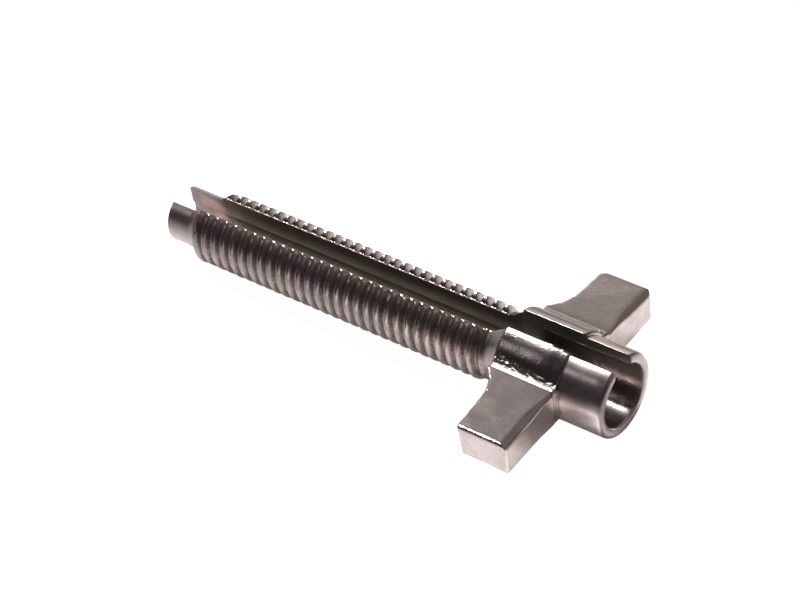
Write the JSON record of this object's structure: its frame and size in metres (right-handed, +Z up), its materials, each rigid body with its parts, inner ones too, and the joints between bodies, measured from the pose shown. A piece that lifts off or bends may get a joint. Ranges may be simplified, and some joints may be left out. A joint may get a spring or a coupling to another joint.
{
  "type": "adjusting bolt",
  "caption": "Slotted cable adjusting bolt: threaded shank with a smooth pilot, thumb wings on a round boss, and a cup with a socket for the cable casing.",
  "frame": {"origin": "middle of the bolt's length and width, on the surface that it lies on", "axes": "+X along the bolt from the pilot to the mouth of the cup, +Z up out of the slot, +Y along a wing"},
  "size_m": [0.0552, 0.0252, 0.0095],
  "materials": {
    "nickel_plate": "bright nickel plate on steel, smooth on the turned faces and finely pitted on the boss and wings"
  },
  "bodies": {
    "root": {"adjusting_bolt": "nickel_plate"}
  },
  "joints": []
}
